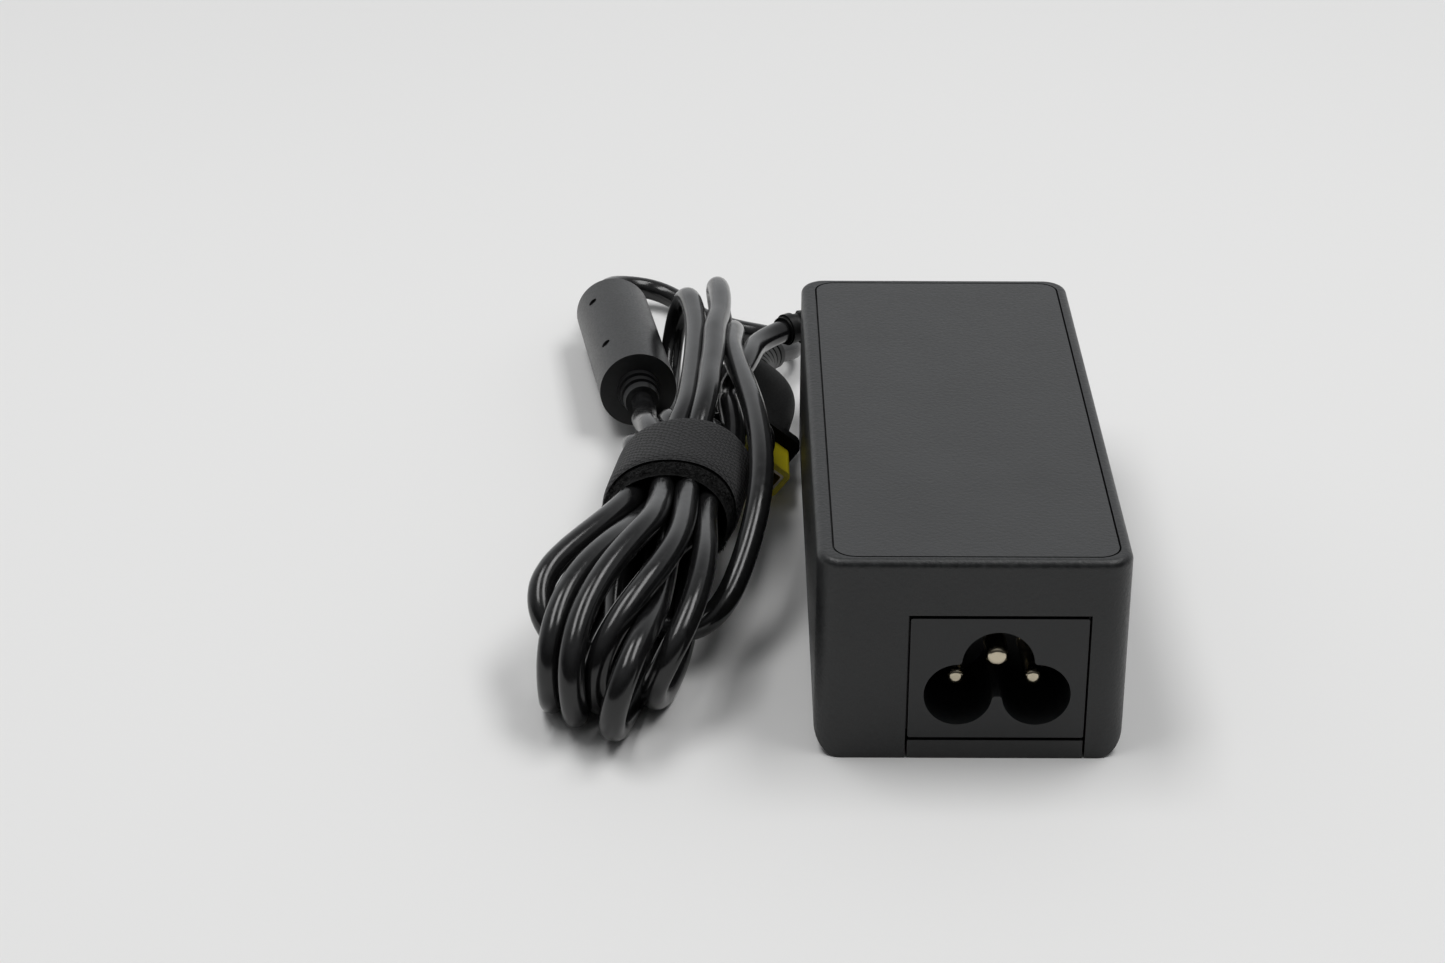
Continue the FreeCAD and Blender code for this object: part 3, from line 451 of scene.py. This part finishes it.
class Nodes:
    """A material's node tree, with short calls to add to it."""

    def __init__(self, name):
        self.material = bpy.data.materials.new(name)
        self.material.use_nodes = True
        self.tree = self.material.node_tree
        self.tree.nodes.clear()
        self.shader = self.add("BsdfPrincipled")
        self.add("OutputMaterial", Surface=self.shader.outputs[0])

    def add(self, kind, **inputs):
        node = self.tree.nodes.new("ShaderNode" + kind)
        self.put(node, **inputs)
        return node

    def put(self, node, **inputs):
        """Gives a node its settings, named in lower case, and its inputs, named with _ for a space."""
        for name, value in inputs.items():
            if name.islower():
                setattr(node, name, value)
            else:
                feed(self.tree, node.inputs[name.replace("_", " ")], value)

    def place(self):
        return self.add("TexCoord").outputs["Object"]

    def noise(self, size, detail=2.0, where=None, rough=0.5):
        """Noise with features of a size in metres."""
        where = where or self.place()
        node = self.add("TexNoise", Scale=1 / size, Detail=detail, Roughness=rough, Vector=where)
        return node.outputs["Fac"]

    def math(self, what, *values):
        node = self.add("Math", operation=what)
        for socket, value in zip(node.inputs, values):
            feed(self.tree, socket, value)
        return node.outputs[0]

    def map(self, value, low, high, to_low, to_high):
        node = self.add("MapRange")
        for socket, given in zip(node.inputs, (value, low, high, to_low, to_high)):
            feed(self.tree, socket, given)
        return node.outputs[0]

    def blend(self, amount, first, second):
        """A mix of two colours, each a node's output or three numbers."""
        node = self.add("Mix", data_type="RGBA")
        feed(self.tree, node.inputs[MIX_AMOUNT], amount)
        for key, colour in zip(MIX_COLOURS, (first, second)):
            feed(self.tree, node.inputs[key], (*colour, 1) if isinstance(colour, tuple) else colour)
        return node.outputs[MIX_RESULT]

    def bump(self, height, distance, strength=1.0, under=None):
        node = self.add("Bump", Distance=distance, Strength=strength, Height=height)
        if under is not None:
            self.put(node, Normal=under)
        return node.outputs[0]


def scaled(colour, factor):
    return tuple(min(c * factor, 1) for c in colour)


def specks(m, size, share):
    """1 on a few small spots, such as dust, and 0 elsewhere."""
    cells = m.add("TexVoronoi", Scale=1 / size, Vector=m.place())
    near = m.map(cells.outputs["Distance"], 0.10, 0.16, 1, 0)
    tint = m.add("SeparateColor", Color=cells.outputs["Color"])
    return m.math("MULTIPLY", near, m.math("LESS_THAN", tint.outputs[0], share))


def moulded(name, colour, rough, grain=0.25 * MM, depth=0.02 * MM, mottle=0.10, dust=0.0, level=0.5):
    """Moulded plastic: a fine eroded grain, slow drifts of colour and gloss, and a little dust."""
    m = Nodes(name)
    slow = m.noise(14 * MM, 3)
    fine = m.noise(grain, 3, rough=0.65)
    worn = m.noise(5 * MM, 4, rough=0.7)
    tone = m.math("ADD", m.math("MULTIPLY", slow, 0.25), m.math("MULTIPLY", fine, 0.75))
    tone = m.map(tone, 0.35, 0.65, 0, 1)
    base = m.blend(tone, scaled(colour, 1 - mottle), scaled(colour, 1 + mottle))
    if dust:
        base = m.blend(specks(m, 2.2 * MM, dust), base, (0.45, 0.44, 0.42))
    m.put(m.shader, Base_Color=base, Specular_IOR_Level=level)
    gloss = m.math("ADD", m.math("MULTIPLY", worn, 0.15), m.math("MULTIPLY", fine, 0.85))
    m.put(m.shader, Roughness=m.map(gloss, 0.3, 0.7, rough - 0.09, rough + 0.09))
    m.put(m.shader, Normal=m.bump(fine, depth))
    return m


def metal(name, colour, rough):
    """Brushed metal with a few darker stains."""
    m = Nodes(name)
    stretched = m.add("Mapping", Scale=(1, 0.08, 1), Vector=m.place())
    lines = m.noise(0.12 * MM, 3, where=stretched.outputs[0])
    stain = m.noise(2.5 * MM, 3)
    base = m.blend(m.map(stain, 0.35, 0.7, 0, 1), colour, scaled(colour, 0.8))
    m.put(m.shader, Base_Color=base, Metallic=1.0)
    m.put(m.shader, Roughness=m.map(lines, 0.3, 0.7, rough * 0.7, rough * 1.4))
    m.put(m.shader, Normal=m.bump(lines, 0.004 * MM))
    return m


def rubber(name, colour, rough, dust=0.0, level=0.5):
    """Soft extruded or moulded PVC: glossy in patches, with faint waves and handling marks."""
    m = Nodes(name)
    waves = m.noise(3.5 * MM, 2)
    rubbed = m.noise(1.1 * MM, 4, rough=0.6)
    fine = m.noise(0.12 * MM, 2)
    base = m.blend(m.map(rubbed, 0.4, 0.7, 0, 1), colour, scaled(colour, 1.35))
    if dust:
        base = m.blend(specks(m, 2.4 * MM, dust), base, (0.5, 0.49, 0.47))
    m.put(m.shader, Base_Color=base, Specular_IOR_Level=level)
    m.put(m.shader, Roughness=m.map(rubbed, 0.3, 0.75, rough - 0.05, rough + 0.1))
    low = m.bump(waves, 0.05 * MM, 0.5)
    m.put(m.shader, Normal=m.bump(fine, 0.004 * MM, under=low))
    return m


def board_material():
    """Green resin over glass cloth, with lighter tracks."""
    m = Nodes("board")
    cloth = m.add("TexBrick", Scale=260.0, Mortar_Size=0.08, Vector=m.place())
    tracks = m.add("TexVoronoi", Scale=190.0, distance="MANHATTAN", Vector=m.place())
    lane = m.map(tracks.outputs["Distance"], 0.42, 0.5, 0, 1)
    resin = m.blend(m.noise(6 * MM), (0.03, 0.16, 0.06), (0.05, 0.24, 0.1))
    m.put(m.shader, Base_Color=m.blend(lane, resin, (0.09, 0.36, 0.16)))
    m.put(m.shader, Roughness=m.map(lane, 0, 1, 0.35, 0.5))
    m.put(m.shader, Normal=m.bump(cloth.outputs["Fac"], 0.01 * MM))
    return m


def wound(name, colour, pitch, rough=0.35, metallic=0.0):
    """Turns of wire or tape lying side by side, with painted shade between the turns."""
    m = Nodes(name)
    full_turn = 6.28
    turns = m.add("TexWave", Scale=1 / pitch / full_turn, Distortion=1.5, Detail=2.0, Vector=m.place())
    stain = m.noise(3 * MM, 3)
    # painted shade: each turn darkens to under half its colour in the valley between it and the next
    base = m.blend(m.map(turns.outputs["Fac"], 0, 0.6, 0, 1), scaled(colour, 0.45), colour)
    m.put(m.shader, Base_Color=base)
    m.put(m.shader, Metallic=metallic, Roughness=m.map(stain, 0.3, 0.7, rough - 0.08, rough + 0.1))
    m.put(m.shader, Normal=m.bump(turns.outputs["Fac"], pitch * 0.4))
    return m


def clear_sheet_material():
    """Milky plastic film that lets half of the light through."""
    m = Nodes("clear_sheet")
    cloud = m.noise(9 * MM, 3)
    m.put(m.shader, Base_Color=m.blend(cloud, (0.74, 0.72, 0.6), (0.9, 0.88, 0.76)))
    m.put(m.shader, Roughness=m.map(cloud, 0.3, 0.7, 0.2, 0.34), Transmission_Weight=0.5)
    m.put(m.shader, Normal=m.bump(m.noise(1.5 * MM), 0.02 * MM))
    return m


def weave_material():
    """Woven tape: warp and weft a fraction of a millimetre apart, fluffed a little, with painted shade in the
    hollows between threads and lighter crowns.
    """
    m = Nodes("strap_weave")
    apart = m.add("SeparateXYZ", Vector=m.add("UVMap").outputs[0])
    wobble = m.noise(1.6 * MM, 2)
    pitch = 0.55 * MM
    across = m.math("ADD", m.math("DIVIDE", apart.outputs[0], pitch), m.math("MULTIPLY", wobble, 0.5))
    along = m.math("ADD", m.math("DIVIDE", apart.outputs[1], pitch), m.math("MULTIPLY", wobble, 0.4))

    def ridge(value):
        return m.math("ABSOLUTE", m.math("SINE", m.math("MULTIPLY", value, math.pi)))

    checks = m.math("FLOORED_MODULO", m.math("ADD", m.math("FLOOR", across), m.math("FLOOR", along)), 2.0)
    over = m.math("MULTIPLY", ridge(across), checks)
    under = m.math("MULTIPLY", ridge(along), m.math("SUBTRACT", 1.0, checks))
    thread = m.math("ADD", over, under)
    fluff = m.noise(0.16 * MM, 3)
    height = m.math("ADD", thread, m.math("MULTIPLY", fluff, 0.7))
    # the colour follows the height: painted shade, darker in the hollows between threads and lighter on their
    # crowns; the fluff adds random tone
    base = m.blend(m.map(height, 0.2, 1.3, 0, 1), (0.004, 0.004, 0.0043), (0.020, 0.020, 0.021))
    m.put(m.shader, Base_Color=base, Roughness=m.map(fluff, 0.3, 0.7, 0.7, 0.95), Specular_IOR_Level=0.25)
    m.put(m.shader, Sheen_Weight=0.12, Sheen_Roughness=0.5, Normal=m.bump(height, 0.16 * MM))
    return m


def pile_material():
    """The dark inner face of the strap: its tufts and the fibres that stand out of them."""
    m = Nodes("strap_pile")
    tuft = m.noise(0.5 * MM, 4, rough=0.7)
    base = m.blend(m.map(tuft, 0.35, 0.7, 0, 1), (0.0012, 0.0012, 0.0013), (0.006, 0.006, 0.0062))
    m.put(m.shader, Base_Color=base, Roughness=m.map(tuft, 0.3, 0.7, 0.8, 0.98))
    m.put(m.shader, Specular_IOR_Level=0.15, Sheen_Weight=0.06, Normal=m.bump(tuft, 0.5 * MM))
    return m


MATERIALS = {
    "case": moulded(
        "case", (0.0096, 0.0103, 0.0109), 0.40, grain=0.55 * MM, depth=0.07 * MM, mottle=0.35, dust=0.0015,
    ),
    # the top panel: the case's own plastic, painted about twice as light as the case, a painted highlight for
    # its upward face
    "panel_painted_light": moulded(
        "panel_painted_light", (0.0205, 0.0213, 0.0222), 0.42, grain=0.55 * MM, depth=0.06 * MM, mottle=0.35, dust=0.0015,
    ),
    "base": moulded("base", (0.0125, 0.0130, 0.0133), 0.46, grain=0.42 * MM, depth=0.05 * MM, mottle=0.2),
    "inlet": moulded("inlet", (0.0085, 0.0092, 0.0100), 0.40, grain=0.3 * MM),
    "moulding": moulded(
        "moulding", (0.0090, 0.0092, 0.0096), 0.36, grain=0.35 * MM, depth=0.012 * MM, mottle=0.14,
        dust=0.004, level=0.4,
    ),
    "plug": moulded("plug", (0.0030, 0.0032, 0.0032), 0.6, grain=0.3 * MM, depth=0.015 * MM, level=0.06),
    "tip": moulded("tip", (0.80, 0.68, 0.02), 0.36, grain=0.3 * MM, depth=0.01 * MM),
    "component": moulded("component", (0.022, 0.022, 0.024), 0.5, grain=0.1 * MM),
    "core": moulded("core", (0.05, 0.05, 0.055), 0.62, grain=0.35 * MM, depth=0.05 * MM, mottle=0.2),
    "blue": moulded("blue", (0.06, 0.2, 0.48), 0.28, grain=0.6 * MM),
    "sleeve": rubber("sleeve", (0.02, 0.026, 0.05), 0.22),
    "film": moulded("film", (0.72, 0.53, 0.08), 0.34, grain=0.4 * MM),
    "tape": wound("tape", (0.8, 0.6, 0.12), 1.8 * MM),
    "copper": wound("copper", (0.62, 0.26, 0.11), 0.7 * MM, rough=0.3, metallic=0.8),
    "aluminium": metal("aluminium", (0.72, 0.72, 0.74), 0.34),
    "contact": metal("contact", (0.56, 0.50, 0.38), 0.16),
    "board": board_material(),
    "sheet": clear_sheet_material(),
    "wire": rubber("wire", (0.45, 0.03, 0.025), 0.3),
    "boot": rubber("boot", (0.007, 0.0072, 0.0072), 0.38, level=0.2),
    "cord": rubber("cord", (0.0068, 0.0068, 0.0071), 0.17, dust=0.004),
    "weave": weave_material(),
    "pile": pile_material(),
}
FINISHES = {
    "case": ["housing"],
    "base": ["base_cover"],
    "panel_painted_light": ["top_panel"],
    "inlet": ["inlet_body"],
    "contact": ["line_pin", "neutral_pin", "earth_pin", "plug_sleeve", "plug_centre_pin"],
    "copper": ["inlet_leads", "choke_windings"],
    "board": ["circuit_board"],
    "sheet": ["insulation_sheet"],
    "component": ["fuse", "bridge_rectifier", "power_transistor", "controller_chip", "transformer_bobbin",
                  "optocoupler", "output_rectifier"],
    "blue": ["varistor", "y_capacitor"],
    "film": ["x_capacitor"],
    "tape": ["transformer_winding"],
    "core": ["choke_core", "transformer_core", "ferrite_core"],
    "aluminium": ["primary_heatsink", "secondary_heatsink"],
    "sleeve": ["bulk_capacitor", "output_capacitors"],
    "wire": ["output_wires"],
    "boot": ["strain_relief", "plug_relief"],
    "moulding": ["ferrite_moulding"],
    "plug": ["plug_grip"],
    "tip": ["plug_tip"],
}
for finish, names in FINISHES.items():
    for name in names:
        for slot in NODES[name].material_slots:
            slot.material = MATERIALS[finish].material
cord.data.materials.append(MATERIALS["cord"].material)


# ---------------------------------------------------------------- the strap

# a layer of tape: faces round it and across it, its width in mm, how square its edges are,
# how far they drift, as a share of the strap's width, and the waves in its faces
AROUND, ACROSS = 150, 22
TAPE_WIDTH = 16
EDGE_POWER = 12
EDGE_DRIFT = 0.012
RIPPLES = 5
RIPPLE_SLANT = 2.2
# the angles at which a layer starts and ends, from the right over the top
WEAVE_ANGLES = (-0.62 * math.pi, 1.36 * math.pi)
PILE_ANGLES = (-0.55 * math.pi, 1.42 * math.pi)
# the fibres, in mm: how far out they are rooted, their length, half width and crook
FIBRES = 2600
FIBRE_ROOT, FIBRE_LENGTH, FIBRE_HALF_WIDTH, FIBRE_CROOK = 0.55, 0.55, 0.045, 0.1
# how they lean to the front and how much that varies, in shares of the strap's width, and round it in radians
FIBRE_LEAN, FIBRE_SPREAD, FIBRE_TWIST = 0.012, 0.02, 0.05


def strap_place(t, angle, out):
    """A point on the strap: t from its rear to its front, angle from the right over the top, out in mm."""
    centre = (1 - t) * STRAP_REAR + t * STRAP_FRONT
    ring = STRAP_INSIDE * (math.cos(angle), math.sin(angle))
    normal = np.array([math.cos(angle) / STRAP_INSIDE[0], math.sin(angle) / STRAP_INSIDE[1]])
    ring = ring + normal / np.linalg.norm(normal) * out
    return Vector((centre[0] + ring[0], centre[1], centre[2] + ring[1])) * MM


def make_layer(name, material, ends, angles, inside, thick, waviness, seed):
    """One layer of tape, a closed band between two angles, with rounded edges and gently wavy faces."""
    waves = np.random.default_rng(seed).uniform(0, 2 * math.pi, RIPPLES)
    low, high = angles
    bm = bmesh.new()
    uv = bm.loops.layers.uv.new("UVMap")
    flat = {}

    def corner(i, j, side):
        """A point of the outer face, for side 1, or of the inner face, for side -1."""
        angle = low + (high - low) * i / AROUND
        s = j / ACROSS
        edge = 1 - (2 * s - 1) ** EDGE_POWER
        t = ends[0] + (ends[1] - ends[0]) * s + EDGE_DRIFT * math.sin(3 * angle + waves[1])
        ripples = [math.sin((k + 2) * angle + waves[k] + RIPPLE_SLANT * s) for k in range(RIPPLES)]
        out = inside + waviness * sum(ripples) / RIPPLES + thick * 0.5 * (1 + side * edge)
        vert = bm.verts.new(strap_place(t, angle, out))
        flat[vert] = (STRAP_INSIDE.mean() * angle * MM, s * TAPE_WIDTH * MM)
        return vert

    def face_rows(side):
        return [[corner(i, j, side) for j in range(ACROSS + 1)] for i in range(AROUND + 1)]

    def quad(a, b, c, d):
        face = bm.faces.new((a, b, c, d))
        face.smooth = True
        for loop in face.loops:
            loop[uv].uv = flat[loop.vert]

    outer, inner = face_rows(1), face_rows(-1)
    for i in range(AROUND):
        for j in range(ACROSS):
            quad(outer[i][j], outer[i][j + 1], outer[i + 1][j + 1], outer[i + 1][j])
            quad(inner[i][j], inner[i + 1][j], inner[i + 1][j + 1], inner[i][j + 1])
        quad(outer[i][0], outer[i + 1][0], inner[i + 1][0], inner[i][0])
        quad(outer[i][-1], inner[i][-1], inner[i + 1][-1], outer[i + 1][-1])
    for j in range(ACROSS):
        quad(outer[0][j], inner[0][j], inner[0][j + 1], outer[0][j + 1])
        quad(outer[-1][j], outer[-1][j + 1], inner[-1][j + 1], inner[-1][j])
    bmesh.ops.recalc_face_normals(bm, faces=bm.faces)
    mesh = bpy.data.meshes.new(name)
    bm.to_mesh(mesh)
    bm.free()
    mesh.materials.append(material.material)
    layer = bpy.data.objects.new(name, mesh)
    SCENE.collection.objects.link(layer)
    return layer


def add_fibres(layer, ends, angles, seed):
    """Fine fibres standing out of a layer, each a narrow tapered sliver with a crook in it."""
    rng = np.random.default_rng(seed)
    bm = bmesh.new()
    bm.from_mesh(layer.data)
    for _ in range(FIBRES):
        t, angle = rng.uniform(*ends), rng.uniform(*angles)
        reach = FIBRE_LENGTH * rng.uniform(0.4, 1.0)
        root = strap_place(t, angle, FIBRE_ROOT)
        tip_t, tip_angle = t + rng.normal(FIBRE_LEAN, FIBRE_SPREAD), angle + rng.normal(0, FIBRE_TWIST)
        tip = strap_place(tip_t, tip_angle, FIBRE_ROOT + reach)
        side = Vector(rng.normal(size=3)).cross(tip - root).normalized() * (FIBRE_HALF_WIDTH * MM)
        middle = root.lerp(tip, 0.6) + Vector(rng.normal(size=3)) * (FIBRE_CROOK * MM)
        corners = (root - side, root + side, middle + side, middle - side, tip)
        verts = [bm.verts.new(corner) for corner in corners]
        bm.faces.new(verts[:4])
        bm.faces.new((verts[3], verts[2], verts[4]))
    bm.to_mesh(layer.data)
    bm.free()


weave = make_layer(
    "strap_weave", MATERIALS["weave"], (0.0, 0.78), WEAVE_ANGLES,
    inside=0.65, thick=0.75, waviness=0.10, seed=11,
)
pile = make_layer(
    "strap_pile", MATERIALS["pile"], (0.16, 1.0), PILE_ANGLES,
    inside=0.0, thick=0.60, waviness=0.06, seed=10,
)
add_fibres(pile, (0.80, 1.0), PILE_ANGLES, seed=4)


# ---------------------------------------------------------------- floor and light, in metres

FLOOR_REACH = 4
# how bright the tent is on the camera's side, behind the object and overhead
WORLD_FRONT, WORLD_BEHIND, WORLD_TOP = 0.04, 0.74, 0.28
WORLD_COLOUR = (0.97, 0.985, 1.0, 1.0)


def make_floor():
    mesh = bpy.data.meshes.new("floor")
    far = FLOOR_REACH
    mesh.from_pydata([(-far, -far, 0), (far, -far, 0), (far, far, 0), (-far, far, 0)], [], [(0, 1, 2, 3)])
    floor = bpy.data.objects.new("floor", mesh)
    SCENE.collection.objects.link(floor)
    m = Nodes("floor")
    cloud = m.noise(300 * MM, 1)
    m.put(m.shader, Base_Color=m.blend(cloud, (0.80, 0.797, 0.79), (0.83, 0.827, 0.82)), Roughness=0.75)
    m.put(m.shader, Specular_IOR_Level=0.2, Normal=m.bump(m.noise(1.5 * MM), 0.01 * MM))
    mesh.materials.append(m.material)


def make_soft_box(name, place, size, power):
    """A soft box over the object, turned to face it."""
    data = bpy.data.lights.new(name, "AREA")
    data.shape = "RECTANGLE"
    data.size, data.size_y = size
    data.energy = power
    light = bpy.data.objects.new(name, data)
    light.location = place
    light.rotation_euler = (-Vector(place)).to_track_quat("-Z", "Y").to_euler()
    SCENE.collection.objects.link(light)


def make_world():
    """A white tent: bright behind the object, dimmer overhead and dark on the camera's side."""
    world = bpy.data.worlds.new("world")
    SCENE.world = world
    world.use_nodes = True
    tree = world.node_tree
    tree.nodes.clear()

    def node(kind, *values):
        made = tree.nodes.new("ShaderNode" + kind)
        for socket, value in zip(made.inputs, values):
            feed(tree, socket, value)
        return made

    def rise(value, low, high, to_low, to_high):
        made = node("MapRange", value, low, high, to_low, to_high)
        made.interpolation_type = "SMOOTHSTEP"
        return made.outputs[0]

    place = node("TexCoord").outputs["Generated"]
    apart = node("SeparateXYZ", place)
    height = rise(apart.outputs[2], 0.25, 0.85, 0.0, 1.0)
    behind = rise(apart.outputs[1], -0.35, 0.75, WORLD_FRONT, WORLD_BEHIND)
    blend = node("Mix", height)
    blend.data_type = "FLOAT"
    for key, level in zip(MIX_NUMBERS, (behind, WORLD_TOP)):
        feed(tree, blend.inputs[key], level)
    background = node("Background", WORLD_COLOUR, blend.outputs[0])
    node("OutputWorld", background.outputs[0])


make_floor()
make_soft_box("left_box", (-0.36, 0.06, 1.05), (0.85, 0.32), 4.8)
make_soft_box("right_box", (0.40, 0.06, 1.0), (0.85, 0.32), 4.6)
make_world()
SCENE.view_settings.view_transform = "Standard"


# ---------------------------------------------------------------- what each piece stands for

for piece in (cord, weave, pile):
    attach(piece, "root")
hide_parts("dc_cord_lead", "dc_cord_hank", "dc_cord_outer_turn", "dc_cord_tail", "dc_cord_plug_end")
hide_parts("cord_strap")
